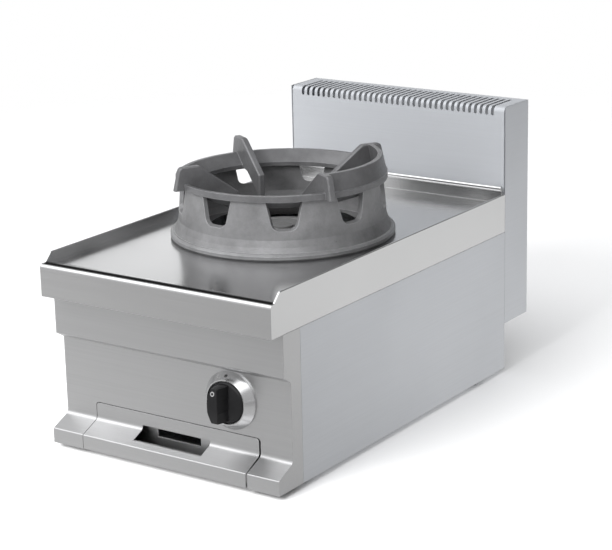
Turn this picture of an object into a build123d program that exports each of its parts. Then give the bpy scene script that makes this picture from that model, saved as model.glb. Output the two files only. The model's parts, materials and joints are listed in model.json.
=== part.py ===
from build123d import *
import os
from math import atan2, cos, degrees, dist, radians, sin

# Counter-top wok range, 400 mm module. Millimetres, +Z up.
# Every piece is drawn in bench coordinates: x from the centre line, y back from the apron's face,
# z up from the casing's underside. save() moves it, so that the origin is the bottom centre of the
# box round the whole object.

# ---------------------------------------------------------------- casing
BODY_W = 400.0              # over the side panels
BODY_D = 630.5              # apron face to rear panel
FOOT_H = 8.0                # feet below the casing
SHEET = 1.2                 # folded casing sheet
TOP_SHEET = 1.5             # worktop sheet
SLIT = 0.3                  # clearance between sheets that stand face to face
HEM = 14.0                  # returns of the folded sheets
SHELF = 40.0                # side panel's bottom return, which the feet carry
LEDGE = 24.0                # side panel's top return, which the rails rest on

SKIRT_Z = 223.5             # lower edge of the worktop's apron and skirts
DECK_Z = 271.0              # worktop surface
FLANGE_Z = 284.5            # top of the side flanges
FLANGE_TOE, FLANGE_NOSE = 9.0, 22.5     # y where the flange's chamfer starts and ends
BULLNOSE_R = 6.0            # front edge of the worktop
UPSTAND_Z = 297.0           # top of the rear upstand's roll
ROLL_R = 4.0
ROLL_INSET = 4.0            # its ends inside the side flanges
HOLE_R = 112.0              # burner opening in the worktop
COLLAR_H = 11.0             # raised neck round that opening

BAND_Y, BAND_Z = 26.0, 162.0            # face and lower edge of the control band
PANEL_Y, PANEL_Z = 41.5, 152.5          # face and upper edge of the lower panel
BEND_Z = 36.5               # where the lower panel turns forward
BEND_R = 8.0
LIP_Y, LIP_Z = 7.8, 21.7    # face and upper edge of the bottom lip
EDGE_R = 2.0                # other bends of the front sheets
SEAM_Y = 65.5               # fascia cheek meets side panel
RAIL_INSET = 8.0            # front rail behind that seam, rear rail before the rear panel
RAIL_W = 20.0

# ---------------------------------------------------------------- drip tray
DRAWER_HALF = 144.0         # half width of the tray's front
DRAWER_Z = 61.2             # its upper edge
DRAWER_LOW = 0.8            # its lower edge
DRAWER_CORNER = 4.5         # its upper corners
GAP_LEFT, GAP_RIGHT, GAP_TOP = 0.8, 2.8, 1.0    # round it, in the fascia's notch
DRAWER_BACK = 50.0          # its rear face, where the tray starts
GRIP_HALF = 60.0            # finger slot: half width
GRIP_Z = 42.0               # finger slot: upper edge on the vertical face
GRIP_Y = 15.5               # finger slot: front edge on the slope
CURL_R, CURL_TURN = 12.0, 74.0          # curl of the sheet at that front edge
REACH_HALF = 38.0           # window behind the finger slot
TRAY_HALF = 138.0
TRAY_L = 505.0
TRAY_WALL = 23.0
TRAY_RIM = 3.0
RUNNER_H = 18.0
RUNNER_W = 12.0
RUNNER_Y, RUNNER_L = 75.0, 520.0

# ---------------------------------------------------------------- flue box
FLUE_D = 73.5
FLUE_LOW = 74.0
FLUE_Z = 420.6
FLUE_BEND_R = 8.0
FLUE_GAP = 0.5              # flue box behind the body
FLUE_SEAM = 1.2             # shadow gap beside the slotted cover
FLUE_HEM = 5.0              # flange under the cover's rear edge
SLOT_COUNT = 36
SLOT_PITCH = 10.1
SLOT_W = 4.9
SLOT_DROP = 14.0            # how far the slots come down the front
SLOT_RUN = 61.0             # how far they run back over the top
DUCT_HALF = 120.0           # gas opening between body and flue
DUCT_LOW, DUCT_HIGH = 130.0, 200.0
DUCT_REACH = 9.0            # collar on both sides of it

# ---------------------------------------------------------------- cast wok stand and ring
WOK_Y = 315.0               # centre of burner, stand and ring
STAND_H = 83.3
STAND_TOP_R = 149.5         # wall at the crest
STAND_WALL_R = STAND_TOP_R + 4.5        # wall above the foot's cove
STAND_COVE_H = 28.0
STAND_GROOVE_R = STAND_WALL_R + 7.0     # between bead and cove
STAND_BEAD_R = STAND_WALL_R + 12.5      # bead at the stand's foot
STAND_BEAD_H = 10.5
STAND_BEAD_CUT = 3.0        # cut corners of that bead
STAND_WALL = 6.3
WINDOW_COUNT = 9
WINDOW_TURN = 26.2          # angle of the first window
WINDOW_TOP, WINDOW_FOOT = 50.5, 28.5    # widths at the crest and at the sill
WINDOW_SILL = 44.3
WINDOW_CORNER = 4.0         # size of the sill's cut corners
WINDOW_DRAFT = 2.2          # each side, over the wall

RIM_R = STAND_TOP_R + 6.5
RIM_H = 9.0
RIM_FLAT = 6.0
DISH_R = RIM_R - 24.0       # inner edge of the dished rim
DISH_DROP = 15.8            # that edge below the rim's top
DISH_T = 6.5                # thickness of that inner edge
SPIGOT_CLEAR = 0.7          # ring's spigot inside the stand
SPIGOT_DEPTH = 4.0
HORN_COUNT = 4
HORN_TURN = 60.0            # angle of the first horn
HORN_T = 10.0
HORN_R, HORN_FOOT_R = RIM_R + 6.5, RIM_R + 14.8     # outer face of a horn: at its top, at its foot
HORN_RISE = 25.0            # above the rim's top
HORN_FLAT = RIM_R - 24.0    # inner end of the horn's level top
HORN_TIP = 71.0             # the finger's inner end
HORN_DROP = 45.5            # the finger's top falls by this to its inner end
HORN_DEPTH = 36.0           # height of that inner end
HEEL_R = DISH_R - 14.0      # where the finger's lower edge turns level
HEEL_DROP = 21.5            # below the rim's top
HORN_CORNER_R = 8.0         # inner end of its level top
HORN_SHOULDER_R = 7.0       # outer end of its level top
HORN_EDGE = 1.5             # chamfer along the horn's top
WALL_SPAN = 90.0            # arc wall from the last horn to the first
WALL_T = 6.5
WALL_LEAN = 7.0

# ---------------------------------------------------------------- burner
BEAM_Z, BEAM_H, BEAM_W = 150.0, 16.0, 44.0
BURNER_R = 60.0             # bowl
BURNER_Z = 262.0            # top of the bowl
BURNER_WALL = 5.0
CHAMBER_R = 30.0            # mixing chamber under the bowl
CHAMBER_H = 49.0
BOWL_RISE = 35.0            # height over which the bowl widens
BOSS_R, BOSS_L = 17.0, 38.0             # inlet boss, length from the burner's axis
CROWN_R, CROWN_H = 66.0, 18.0
CROWN_SPIGOT = 6.0
CROWN_EYE_R = 40.0
PORT_COUNT, PORT_W = 18, 3.5
CAP_R, CAP_T = 45.5, 7.0
CAP_BOSS_R, CAP_BOSS_H = 15.0, 4.0
CAP_SPIGOT = 8.0
LIFT_CLEAR = 0.5            # radial clearance of lift-off burner pieces
MIXER_R, MIXER_BORE = 13.0, 9.0
MIXER_Z = 196.0
MOUTH_Y, MOUTH_R, MOUTH_T = 150.0, 20.0, 4.0
HOLDER_GAP = 18.0           # air gap between injector holder and mixer mouth
HOLDER_T = 4.0
POST_W = 4.0                # square posts
JET_R, JET_L = 5.0, 19.0
JET_BACK = 6.0              # jet behind the holder's plate
SHUTTER_L, SHUTTER_T = 14.0, 1.5
RUN_FIT = 0.05              # radial clearance of running fits

# ---------------------------------------------------------------- tap and knob
KNOB_X, KNOB_Z = 99.5, 109.5
BEZEL_R, BEZEL_EYE_R, BEZEL_H = 42.0, 31.0, 14.5
BEZEL_EDGE, BEZEL_FLAT = 2.5, 1.6
KNOB_R, KNOB_T, KNOB_RIM = 30.0, 6.0, 2.5
KNOB_FACE = 15.5            # disc's face in front of the panel
KNOB_DOME_R, KNOB_DOME = 12.0, 6.0      # the face rises by this to this radius
KNOB_PROUD = 3.0            # grip in front of the apron's face
GRIP_W, GRIP_END_W, GRIP_L = 17.0, 10.0, 49.0   # front of the grip: widths in the middle and at the ends
GRIP_WIDE = 9.0             # half length of its widest part
GRIP_FLARE = 5.0            # taper of its flanks, degrees
GRIP_BOW = 4.5              # its front's ends behind its middle
GRIP_LIFT = 2.5             # its front above the knob's axis
HUB_R = 9.0
STEM_R = 4.0
STEM_HOLE_R = 6.0
STEM_IN = 20.0              # stem behind the panel
PUSH = 3.0                  # travel of the pushed knob
PIN_L = 10.0
TAP_R, TAP_L = 14.0, 57.0
TAP_FLANGE_R, TAP_FLANGE_T = 20.0, 3.5
PORT_Y = 84.0               # the tap's side unions
PORT_REACH = 22.0
PILOT_UNION_R, PILOT_UNION_REACH = 4.5, 20.0

# ---------------------------------------------------------------- gas line
PIPE_R, PIPE_BEND = 6.0, 12.0           # radius and how much a corner is cut
FEED_R, FEED_BEND = 4.0, 10.0
INLET_X, INLET_Z = 165.0, 45.0
INLET_R, INLET_L = 10.48, 16.0          # G 1/2 male thread
INLET_SHANK_R = 9.0         # through the rear panel
INLET_FLANGE_R, INLET_FLANGE_T = 15.0, 4.0
INLET_TAIL = 12.0           # shank inside the rear panel
NUT_L = 8.0
PILOT_X = 80.8              # pilot plate left of the burner
PILOT_R, PILOT_L = 5.0, 28.0
PILOT_AHEAD, PROBE_BEHIND = 7.0, 11.0   # of the burner's axis
BRACKET_AHEAD, BRACKET_BEHIND = 15.0, 18.0
PILOT_TUBE_R, PILOT_TUBE_Y, PILOT_TUBE_Z = 2.0, 92.0, 185.0
PROBE_R, PROBE_L = 3.0, 36.0
LEAD_R, LEAD_Y, LEAD_Z = 1.2, 108.0, 176.0
THIN_BEND = 5.0
SHIELD_Y, SHIELD_LOW, SHIELD_HIGH = 118.0, 34.0, 165.0
SHIELD_LEG = 50.0
HOLE_CLEAR = 3.0            # round a pipe that passes through a sheet

FOOT_R = 14.0
FOOT_INSET = 24.0           # foot's axis inside the side panel's face
FOOT_FRONT, FOOT_REAR = 84.0, 74.5      # its distance from the front and from the rear panel
FOOT_SIDES = 16
SCREW_R, SCREW_H = 4.2, 2.6
SCREW_X, SCREW_Z = (-185.0, -60.0, 60.0), (20.0, 62.0)

HALF = BODY_W / 2
DEPTH = BODY_D + FLUE_D
Y_ORIGIN = (KNOB_PROUD - DEPTH) / 2
INSIDE = HALF - SHEET       # inner face of the side panels
PANEL_TOP = SKIRT_Z - SLIT  # top of the casing sheets under the skirts
RIM_LOW = DECK_Z + STAND_H
RIM_TOP = RIM_LOW + RIM_H
SPIGOT_R = STAND_TOP_R - STAND_WALL - SPIGOT_CLEAR
BEAM_TOP = BEAM_Z + BEAM_H
TRAY_LOW = 3 * SHEET + SLIT
TRAY_TOP = TRAY_LOW + TRAY_WALL

os.makedirs("parts", exist_ok=True)


# ================================================================ helpers
def save(node, shape):
    moved = Pos(0, Y_ORIGIN, FOOT_H) * shape
    moved.label = node
    export_step(moved, f"parts/{node}.step")


def block(x, y, z):
    """Box from three (low, high) pairs."""
    size = (x[1] - x[0], y[1] - y[0], z[1] - z[0])
    middle = ((x[0] + x[1]) / 2, (y[0] + y[1]) / 2, (z[0] + z[1]) / 2)
    return Pos(*middle) * Box(*size)


def outline(points, bends=()):
    """Closed face through the points. bends lists (index, radius) of the rounded corners."""
    face = make_face(Polyline(*points, close=True))
    for index, r in bends:
        corner = face.vertices().sort_by_distance(points[index])[0]
        face = fillet(corner, r)
    return face


def cut_corners(points, cuts):
    """The same outline with some corners cut flat. cuts maps index to size."""
    result = []
    for i, (x, y) in enumerate(points):
        if i not in cuts:
            result.append((x, y))
            continue
        for near in (points[i - 1], points[(i + 1) % len(points)]):
            reach = cuts[i] / dist((x, y), near)
            result.append((x + (near[0] - x) * reach, y + (near[1] - y) * reach))
    return result


def side_prism(face, half):
    """Side-view face (y, z) drawn out both ways along x."""
    return extrude(Plane.YZ * face, half, both=True)


def turned(face, x=0.0, y=WOK_Y):
    """Face (radius, z) turned round an upright axis at x, y."""
    return Pos(x, y, 0) * revolve(Plane.XZ * face, Axis.Z)


def turned_y(face, x, z):
    """Face (radius, y) turned round an axis along y at x, z."""
    return Pos(x, 0, z) * revolve(face, Axis.Y)


def rod_y(x, z, y, r):
    """Round bar along y between the pair y."""
    return turned_y(outline([(0, y[0]), (r, y[0]), (r, y[1]), (0, y[1])]), x, z)


def rod_x(y, z, x, r):
    """Round bar along x between the pair x."""
    return Pos((x[0] + x[1]) / 2, y, z) * Rot(0, 90, 0) * Cylinder(r, abs(x[1] - x[0]))


def rod_z(x, y, z, r):
    """Round bar along z between the pair z."""
    return Pos(x, y, (z[0] + z[1]) / 2) * Cylinder(r, z[1] - z[0])


def tube(points, bend, r):
    """Round tube along straight runs. Each bend is one short run across the corner."""
    runs = [Vector(*points[0])]
    for before, corner, after in zip(points, points[1:], points[2:]):
        here = Vector(*corner)
        runs.append(here + (Vector(*before) - here).normalized() * bend)
        runs.append(here + (Vector(*after) - here).normalized() * bend)
    path = Polyline(*runs, Vector(*points[-1]))
    return sweep(Plane(path @ 0, z_dir=path % 0) * Circle(r), path, transition=Transition.RIGHT)


def other_side(shape):
    return mirror(shape, Plane.YZ)


def around_wok(shape, angle):
    """Piece drawn along +x from the origin, turned round the burner's axis."""
    return Pos(0, WOK_Y, 0) * Rot(0, 0, angle) * shape


# ================================================================ casing
def worktop_form(inset, low):
    """Block with the worktop's rolled front edge, every side moved in by inset."""
    form = block((-HALF + inset, HALF - inset), (inset, BODY_D - inset), (low, DECK_Z - inset))
    edge = form.edges().filter_by(Axis.X).group_by(Axis.Y)[0].sort_by(Axis.Z)[-1]
    return fillet(edge, BULLNOSE_R - inset)


def worktop():
    pan = worktop_form(0, SKIRT_Z) - worktop_form(TOP_SHEET, SKIRT_Z - 1)
    fold = 2 * TOP_SHEET
    root = DECK_Z - TOP_SHEET
    side = [(FLANGE_TOE, root), (FLANGE_TOE, DECK_Z), (FLANGE_NOSE, FLANGE_Z), (BODY_D, FLANGE_Z),
            (BODY_D, root)]
    flange = side_prism(outline(side), fold / 2)
    flange = fillet(flange.edges().filter_by(Axis.Y).group_by(Axis.Z)[-1], 0.45 * fold)
    roll_y, roll_z = BODY_D - ROLL_R, UPSTAND_Z - ROLL_R
    upstand = block((-HALF + fold, HALF - fold), (roll_y - TOP_SHEET, roll_y + TOP_SHEET), (root, roll_z))
    roll = rod_x(roll_y, roll_z, (ROLL_INSET - HALF, HALF - ROLL_INSET), ROLL_R)
    neck = rod_z(0, WOK_Y, (root, DECK_Z + COLLAR_H), HOLE_R + TOP_SHEET)
    pan += [Pos(HALF - fold / 2, 0, 0) * flange, Pos(fold / 2 - HALF, 0, 0) * flange, upstand, roll, neck]
    return pan - rod_z(0, WOK_Y, (SKIRT_Z, DECK_Z + COLLAR_H + 1), HOLE_R)


def front_shell(points, bends, half, corner=0):
    """Folded front sheet with closed cheeks, hollow inside. corner rounds its upper corners."""
    face = outline(points, bends)
    hollow = side_prism(offset(face, -SHEET, kind=Kind.INTERSECTION), half - SHEET)
    form = side_prism(face, half)
    if corner:
        form = round_top(form, corner)
        hollow = round_top(hollow, corner - SHEET)
    return form - hollow


def round_top(form, r):
    """Rounds the two upper edges that run front to back."""
    return fillet(form.edges().filter_by(Axis.Y).group_by(Axis.Z)[-1], r)


def front_fascia():
    points = [(BAND_Y, PANEL_TOP), (BAND_Y, BAND_Z), (PANEL_Y, PANEL_Z), (PANEL_Y, BEND_Z),
              (LIP_Y, LIP_Z), (LIP_Y, 0), (SEAM_Y, 0), (SEAM_Y, PANEL_TOP)]
    shell = front_shell(points, [(1, EDGE_R), (2, EDGE_R), (3, BEND_R), (4, EDGE_R)], HALF)
    inner = (-INSIDE, INSIDE)
    notch_x = (-DRAWER_HALF - GAP_LEFT, DRAWER_HALF + GAP_RIGHT)
    notch = block(notch_x, (0, SEAM_Y + 1), (-1, DRAWER_Z + GAP_TOP))
    shell -= block(inner, (SEAM_Y - 2 * SHEET, SEAM_Y + 1), (SHEET, PANEL_TOP - SHEET))
    shell -= block(inner, (BAND_Y + HEM, SEAM_Y + 1), (PANEL_TOP - 2 * SHEET, PANEL_TOP + 1))
    shell -= block(inner, (LIP_Y + HEM, SEAM_Y + 1), (-1, 2 * SHEET))
    shell -= round_top(notch, DRAWER_CORNER + GAP_TOP)
    return shell - rod_y(KNOB_X, KNOB_Z, (PANEL_Y - 1, PANEL_Y + 2 * SHEET), STEM_HOLE_R)


def side_panel():
    run = (SEAM_Y + SLIT, BODY_D)
    panel = block((INSIDE, HALF), run, (0, PANEL_TOP))
    shelf = block((HALF - SHELF, HALF), run, (0, SHEET))
    ledge = block((HALF - LEDGE, HALF), run, (PANEL_TOP - SHEET, PANEL_TOP))
    return panel + shelf + ledge


def base_pan():
    x = INSIDE - SLIT
    y = (SEAM_Y + SLIT, BODY_D - SHEET - SLIT)
    floor = block((-x, x), y, (SHEET, 2 * SHEET))
    side = block((x - SHEET, x), y, (SHEET, HEM))
    rear = block((-x, x), (y[1] - SHEET, y[1]), (SHEET, HEM))
    return floor + side + other_side(side) + rear


def rear_panel():
    panel = block((-INSIDE, INSIDE), (BODY_D - SHEET, BODY_D), (SHEET, PANEL_TOP - SHEET))
    duct = block((-DUCT_HALF, DUCT_HALF), (BODY_D - 2 * SHEET, BODY_D + 1), (DUCT_LOW, DUCT_HIGH))
    return panel - duct - rod_y(INLET_X, INLET_Z, (BODY_D - 2 * SHEET, BODY_D + 1), INLET_SHANK_R + SLIT)


def rail(y, toward):
    """Channel across the casing under the worktop, flanges turned to one side."""
    x = (SLIT - HALF + TOP_SHEET, HALF - TOP_SHEET - SLIT)
    z = (PANEL_TOP, DECK_Z - TOP_SHEET)
    deep = sorted((y, y + toward * RAIL_W))
    web = block(x, sorted((y, y + toward * SHEET)), z)
    return web + block(x, deep, (z[0], z[0] + SHEET)) + block(x, deep, (z[1] - SHEET, z[1]))


# ================================================================ flue box
FLUE_Y = BODY_D + FLUE_GAP


def flue_slot():
    """One slot that wraps over the cover's front bend, drawn at x = 0."""
    half = SLOT_W / 2
    ends = {0: 0.6 * half, 1: 0.6 * half}
    low = FLUE_Z - SLOT_DROP
    view = cut_corners([(-half, low), (half, low), (half, FLUE_Z + 1), (-half, FLUE_Z + 1)], ends)
    front = extrude(Plane.XZ.offset(-FLUE_Y - FLUE_BEND_R) * outline(view), FLUE_BEND_R + 1)
    run = (FLUE_Y + FLUE_BEND_R / 2, FLUE_Y + SLOT_RUN)
    plan = cut_corners([(half, run[1]), (-half, run[1]), (-half, run[0]), (half, run[0])], ends)
    return front + extrude(Plane.XY.offset(FLUE_Z - 2 * SHEET) * outline(plan), 2 * SHEET + 1)


def flue_cover():
    rear = DEPTH - SHEET - SLIT
    points = [(FLUE_Y, FLUE_LOW), (FLUE_Y, FLUE_Z), (rear, FLUE_Z), (rear, FLUE_Z - SHEET),
              (FLUE_Y + SHEET, FLUE_Z - SHEET), (FLUE_Y + SHEET, FLUE_LOW)]
    cover = side_prism(outline(points, [(1, FLUE_BEND_R), (4, FLUE_BEND_R - SHEET)]), INSIDE - FLUE_SEAM)
    slot = flue_slot()
    first = -SLOT_PITCH * (SLOT_COUNT - 1) / 2
    cover -= [Pos(first + i * SLOT_PITCH, 0, 0) * slot for i in range(SLOT_COUNT)]
    return cover - block((-DUCT_HALF, DUCT_HALF), (FLUE_Y - 1, FLUE_Y + 2 * SHEET), (DUCT_LOW, DUCT_HIGH))


def flue_side():
    side = block((INSIDE, HALF), (FLUE_Y, DEPTH), (FLUE_LOW, FLUE_Z))
    lip_z = (FLUE_LOW + SHEET, FLUE_Z - SLOT_DROP - SLOT_W)
    return side + block((HALF - HEM, HALF), (FLUE_Y + SHEET, FLUE_Y + 2 * SHEET), lip_z)


def flue_back():
    back = block((-INSIDE, INSIDE), (DEPTH - SHEET, DEPTH), (FLUE_LOW, FLUE_Z))
    hem_y = (DEPTH - SHEET - FLUE_HEM, DEPTH)
    return back + block((-INSIDE, INSIDE), hem_y, (FLUE_Z - 2 * SHEET, FLUE_Z - SHEET))


def flue_floor():
    return block((-INSIDE, INSIDE), (FLUE_Y + SHEET, DEPTH - SHEET), (FLUE_LOW, FLUE_LOW + SHEET))


def duct_collar():
    y = (BODY_D - SHEET - DUCT_REACH, FLUE_Y + SHEET + DUCT_REACH)
    out, low, high = DUCT_HALF - SLIT, DUCT_LOW + SLIT, DUCT_HIGH - SLIT
    tunnel = block((SHEET - out, out - SHEET), (y[0] - 1, y[1] + 1), (low + SHEET, high - SHEET))
    return block((-out, out), y, (low, high)) - tunnel


# ================================================================ drip tray
def drip_tray_front():
    points = [(PANEL_Y, DRAWER_Z), (PANEL_Y, BEND_Z), (LIP_Y, LIP_Z), (LIP_Y, DRAWER_LOW),
              (DRAWER_BACK, DRAWER_LOW), (DRAWER_BACK, DRAWER_Z)]
    shell = front_shell(points, [(1, BEND_R), (2, EDGE_R)], DRAWER_HALF, DRAWER_CORNER)
    window_z = (TRAY_TOP, DRAWER_Z - DRAWER_CORNER - 2 * SHEET)
    shell -= block((-REACH_HALF, REACH_HALF), (DRAWER_BACK - 2 * SHEET, DRAWER_BACK + 1), window_z)
    slot = block((-GRIP_HALF, GRIP_HALF), (GRIP_Y, DRAWER_BACK - 2 * SHEET), (2 * SHEET, GRIP_Z))
    return shell - slot + side_prism(slot_curl(), GRIP_HALF)


def slot_curl():
    """Side view of the sheet that curls down and back from the finger slot's front edge."""
    rise = atan2(BEND_Z - LIP_Z, PANEL_Y - LIP_Y)
    level = LIP_Z + (GRIP_Y - LIP_Y) * sin(rise) / cos(rise)
    middle = (GRIP_Y + CURL_R * sin(rise), level - CURL_R * cos(rise))
    start = 90 + degrees(rise)
    curl = CenterArc(middle, CURL_R, start, -CURL_TURN)
    under = CenterArc(middle, CURL_R - SHEET, start - CURL_TURN, CURL_TURN)
    root = (-SHEET * cos(rise), -SHEET * sin(rise))
    tab = [under @ 1, (under @ 1) + root, (curl @ 0) + root, curl @ 0]
    return make_face(Curve() + [curl, Line(curl @ 1, under @ 0), under, Polyline(*tab)])


def drip_tray():
    y = (DRAWER_BACK, DRAWER_BACK + TRAY_L)
    rim_z = (TRAY_TOP - SHEET, TRAY_TOP)
    tray = block((-TRAY_HALF, TRAY_HALF), y, (TRAY_LOW, TRAY_TOP))
    rim = TRAY_HALF + TRAY_RIM
    tray += block((-rim, rim), (y[0], y[1] + TRAY_RIM), rim_z)
    hollow = TRAY_HALF - SHEET
    tray -= block((-hollow, hollow), (y[0] + SHEET, y[1] - SHEET), (TRAY_LOW + SHEET, TRAY_TOP + 1))
    return tray + block((-hollow, hollow), (y[0], y[0] + SHEET + TRAY_RIM), rim_z)


def tray_runner():
    wall = TRAY_HALF + SLIT
    y = (RUNNER_Y, RUNNER_Y + RUNNER_L)
    foot = block((TRAY_HALF - RUNNER_W, wall + SHEET), y, (2 * SHEET, 3 * SHEET))
    return foot + block((wall, wall + SHEET), y, (2 * SHEET, 2 * SHEET + RUNNER_H))


# ================================================================ cast wok stand and ring
def window_cutter():
    """Tapered trapezoid pushed out along +x through the stand's wall."""
    def sill_shape(x):
        grow = WINDOW_DRAFT / STAND_WALL * (x - STAND_TOP_R + STAND_WALL)
        low, high = DECK_Z + WINDOW_SILL - grow, DECK_Z + STAND_H + 1
        foot, top = WINDOW_FOOT / 2 + grow, WINDOW_TOP / 2 + grow
        corner = WINDOW_CORNER + grow / 2
        sill = cut_corners([(-foot, low), (foot, low), (top, high), (-top, high)], {0: corner, 1: corner})
        sill = cut_corners(sill, {i: corner / 2 for i in range(4)})
        return Plane.YZ.offset(x) * outline(sill)
    return loft([sill_shape(STAND_TOP_R - 3 * STAND_WALL), sill_shape(STAND_WALL_R + STAND_WALL)], ruled=True)


def stand_profile():
    """Half section of the stand: bead, groove, cove and leaning wall."""
    bead = cut_corners([(STAND_BEAD_R - 8, 0), (STAND_BEAD_R, 0), (STAND_BEAD_R, STAND_BEAD_H),
                        (STAND_BEAD_R - 8, STAND_BEAD_H)], {1: STAND_BEAD_CUT, 2: STAND_BEAD_CUT})
    cove = [(STAND_GROOVE_R, STAND_BEAD_H), (STAND_WALL_R + 3.4, STAND_BEAD_H + 7.6)]
    wall = [(STAND_WALL_R, STAND_COVE_H), (STAND_TOP_R, STAND_H), (STAND_TOP_R - STAND_WALL, STAND_H),
            (STAND_WALL_R - STAND_WALL, STAND_COVE_H), (STAND_BEAD_R - 11, STAND_BEAD_H),
            (STAND_BEAD_R - 11, 0)]
    return outline([(r, DECK_Z + h) for r, h in bead[1:5] + cove + wall])


def wok_stand():
    stand = turned(stand_profile())
    window = window_cutter()
    turn = 360 / WINDOW_COUNT
    stand -= [around_wok(window, WINDOW_TURN + i * turn) for i in range(WINDOW_COUNT)]
    return stand


def horn():
    """One horn along +x: lug on the rim with a level top, and a finger that slopes to the middle."""
    top = RIM_TOP + HORN_RISE
    tip = top - HORN_DROP
    heel = RIM_TOP - HEEL_DROP
    root = RIM_TOP - DISH_DROP - DISH_T / 2
    points = [(HORN_FOOT_R, RIM_LOW), (HORN_R, top), (HORN_FLAT, top), (HORN_TIP, tip),
              (HORN_TIP, tip - HORN_DEPTH), (HEEL_R, heel), (DISH_R + 2, root),
              (SPIGOT_R - 2, RIM_LOW)]
    face = outline(points, [(1, HORN_SHOULDER_R), (2, HORN_CORNER_R), (3, EDGE_R), (4, EDGE_R)])
    fin = extrude(Plane.XZ * face, HORN_T / 2, both=True)
    ridge = [edge for edge in fin.edges().filter_by(GeomType.LINE)
             if edge.center().Z > tip + 1 and abs(abs(edge.center().Y) - HORN_T / 2) < 0.01
             and edge.center().X < HORN_R - HORN_CORNER_R]
    return chamfer([edge for edge in ridge if edge.length > HORN_CORNER_R], HORN_EDGE)


def wok_ring():
    low = RIM_LOW - SPIGOT_DEPTH
    edge = RIM_TOP - DISH_DROP
    rim = turned(outline([(RIM_R, RIM_LOW), (RIM_R, RIM_TOP), (RIM_R - RIM_FLAT, RIM_TOP), (DISH_R, edge),
                          (DISH_R, edge - DISH_T), (SPIGOT_R, low), (SPIGOT_R, RIM_LOW)]))
    top = RIM_TOP + HORN_RISE
    foot_r, lean = RIM_R - 1, RIM_R - 1 - WALL_LEAN
    section = outline([(foot_r, RIM_TOP - 1), (foot_r, RIM_TOP), (lean, top), (lean - WALL_T, top),
                       (foot_r - WALL_T - 2, RIM_TOP), (foot_r - WALL_T - 2, RIM_TOP - 1)])
    wall = revolve(Plane.XZ * section, Axis.Z, revolution_arc=WALL_SPAN)
    fin = horn()
    turn = 360 / HORN_COUNT
    horns = [around_wok(fin, HORN_TURN + i * turn) for i in range(HORN_COUNT)]
    return rim + around_wok(wall, HORN_TURN - WALL_SPAN) + horns


# ================================================================ burner
def burner_beam():
    """Hat channel from side panel to side panel."""
    x = INSIDE - SLIT
    y = (WOK_Y - BEAM_W / 2, WOK_Y + BEAM_W / 2)
    beam = block((-x, x), y, (BEAM_Z, BEAM_TOP))
    return beam - block((SHEET - x, x - SHEET), (y[0] + SHEET, y[1] - SHEET), (BEAM_Z - 1, BEAM_TOP - SHEET))


def burner_body():
    wide = BURNER_R - BURNER_WALL
    shoulder = BEAM_TOP + CHAMBER_H
    floor = shoulder + BOWL_RISE
    outside = [(0, BEAM_TOP), (CHAMBER_R, BEAM_TOP), (CHAMBER_R, shoulder), (BURNER_R, floor),
               (BURNER_R, BURNER_Z)]
    inside = [(wide, BURNER_Z), (wide, floor), (CHAMBER_R - BURNER_WALL, floor),
              (CHAMBER_R - BURNER_WALL, BEAM_TOP + BURNER_WALL), (0, BEAM_TOP + BURNER_WALL)]
    bowl = turned(outline(outside + inside))
    boss = rod_y(0, MIXER_Z, (WOK_Y - BOSS_L, WOK_Y - CHAMBER_R + BURNER_WALL), BOSS_R)
    return bowl + boss - rod_y(0, MIXER_Z, (WOK_Y - BOSS_L - 1, WOK_Y), MIXER_BORE)


def burner_crown():
    high = BURNER_Z + CROWN_H
    seat = high - CAP_SPIGOT
    spigot = BURNER_R - BURNER_WALL - LIFT_CLEAR
    ring = turned(outline([(CROWN_R, BURNER_Z), (CROWN_R, BURNER_Z + 5), (CROWN_R - 9, high),
                           (CAP_R + LIFT_CLEAR, high), (CAP_R + LIFT_CLEAR, seat), (CROWN_EYE_R, seat),
                           (CROWN_EYE_R, BURNER_Z - CROWN_SPIGOT), (spigot, BURNER_Z - CROWN_SPIGOT),
                           (spigot, BURNER_Z)]))
    port = block((CROWN_R - 12, CROWN_R + 2), (-PORT_W / 2, PORT_W / 2), (BURNER_Z + 4, high - 4))
    turn = 360 / PORT_COUNT
    return ring - [around_wok(port, i * turn) for i in range(PORT_COUNT)]


def burner_cap():
    seat = BURNER_Z + CROWN_H - CAP_SPIGOT
    neck = CROWN_EYE_R - LIFT_CLEAR
    return turned(outline([(0, seat - 5), (neck, seat - 5), (neck, seat), (CAP_R, seat), (CAP_R, seat + CAP_T),
                           (CAP_BOSS_R, seat + CAP_T), (CAP_BOSS_R, seat + CAP_T + CAP_BOSS_H),
                           (0, seat + CAP_T + CAP_BOSS_H)]))


def mixer_tube():
    end = WOK_Y - BOSS_L
    face = outline([(MIXER_R, end), (MIXER_R, MOUTH_Y + MOUTH_T), (MOUTH_R, MOUTH_Y + MOUTH_T),
                    (MOUTH_R, MOUTH_Y), (MIXER_BORE, MOUTH_Y), (MIXER_BORE, end)])
    return turned_y(face, 0, MIXER_Z)


HOLDER_Y = MOUTH_Y - HOLDER_GAP - HOLDER_T


def injector_holder():
    plate = rod_y(0, MIXER_Z, (HOLDER_Y, HOLDER_Y + HOLDER_T), MOUTH_R)
    plate -= rod_y(0, MIXER_Z, (HOLDER_Y - 1, HOLDER_Y + HOLDER_T + 1), JET_R)
    reach = MOUTH_R - POST_W
    for angle in (90, 210, 330):
        x, z = reach * cos(radians(angle)), MIXER_Z + reach * sin(radians(angle))
        plate += block((x - POST_W / 2, x + POST_W / 2), (HOLDER_Y + HOLDER_T / 2, MOUTH_Y),
                       (z - POST_W / 2, z + POST_W / 2))
    return plate


def injector():
    start = HOLDER_Y - JET_BACK
    return rod_y(0, MIXER_Z, (start, start + JET_L), JET_R)


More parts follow.
